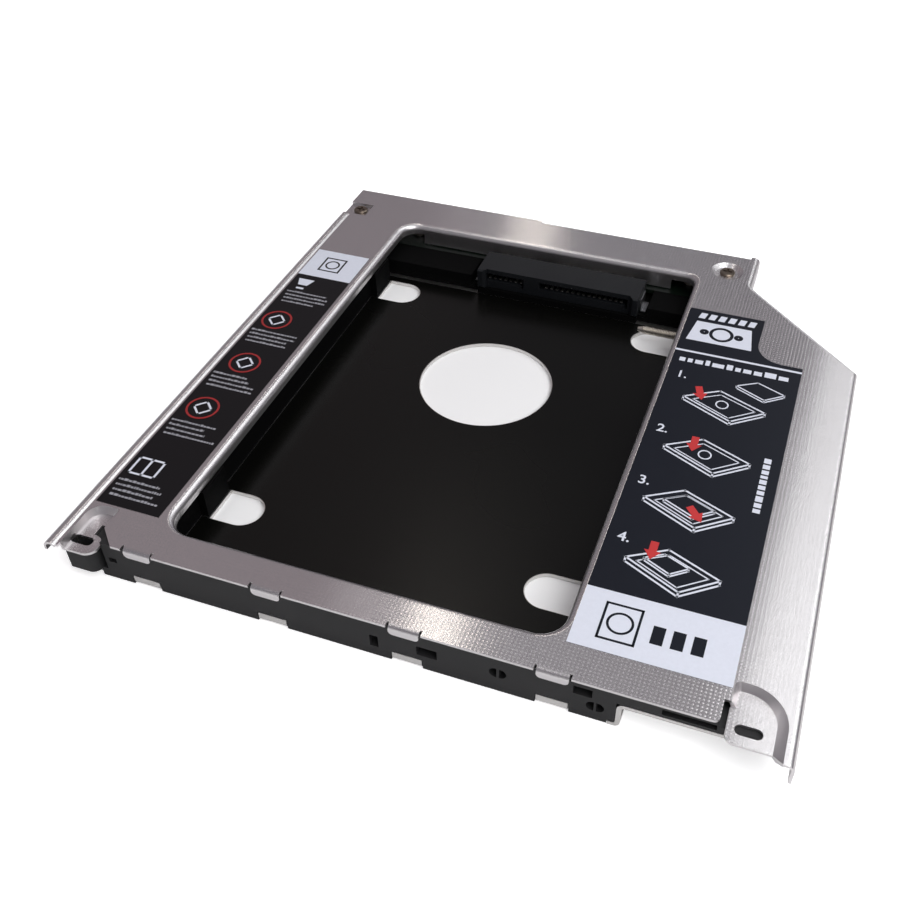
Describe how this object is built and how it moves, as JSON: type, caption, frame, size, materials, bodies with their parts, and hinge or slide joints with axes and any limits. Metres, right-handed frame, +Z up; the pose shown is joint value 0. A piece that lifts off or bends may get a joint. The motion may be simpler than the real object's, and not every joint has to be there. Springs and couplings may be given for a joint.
{
  "type": "laptop drive caddy",
  "caption": "Slim sheet-metal caddy that holds a small disk drive in the place of a laptop's optical drive, with a rear connector and clamp screws",
  "frame": {"origin": "middle of the bounding box in plan, at the underside of the tray", "axes": "+X across the caddy to the side with the wing, +Y from the ears to the connector, +Z up from the tray to the cover"},
  "size_m": [0.1264, 0.1308, 0.0096],
  "materials": {
    "cover_sheet": "brushed, warm silver",
    "tray_sheet": "satin",
    "film": "glossy black",
    "frame_plastic": "matt black",
    "board": "solder resist, dark green",
    "connector_plastic": "matt black",
    "contact_metal": "gold plated",
    "clip_metal": "tin plated",
    "chip_body": "matt",
    "screw_steel": "satin",
    "insert_brass": "satin",
    "label_left": "black printed film",
    "label_right": "bluish black printed film"
  },
  "bodies": {
    "caddy": {"top_cover": "cover_sheet", "bottom_tray": "tray_sheet", "floor_film": "film", "front_bar": "frame_plastic", "left_rail": "frame_plastic", "right_rail": "frame_plastic", "rear_carrier": "frame_plastic", "adapter_board": "board", "drive_connector": "connector_plastic", "drive_contacts": "contact_metal", "connector_clips": "clip_metal", "host_plug": "connector_plastic", "host_contacts": "contact_metal", "board_components": "chip_body", "board_screws": "screw_steel", "cover_screw_left": "screw_steel", "cover_screw_right": "screw_steel", "insert_rear": "insert_brass", "insert_front": "insert_brass", "left_label": "label_left", "right_label": "label_right"},
    "set_screw_rear": {"set_screw_rear": "screw_steel"},
    "set_screw_front": {"set_screw_front": "screw_steel"}
  },
  "joints": [
    {"name": "rear_clamp_screw", "type": "slide", "parent": "caddy", "child": "set_screw_rear", "axis": [1, 0, 0], "range_m": [-0.0008, 0.0115]},
    {"name": "front_clamp_screw", "type": "slide", "parent": "caddy", "child": "set_screw_front", "axis": [1, 0, 0], "range_m": [-0.0097, 0.0018]}
  ]
}
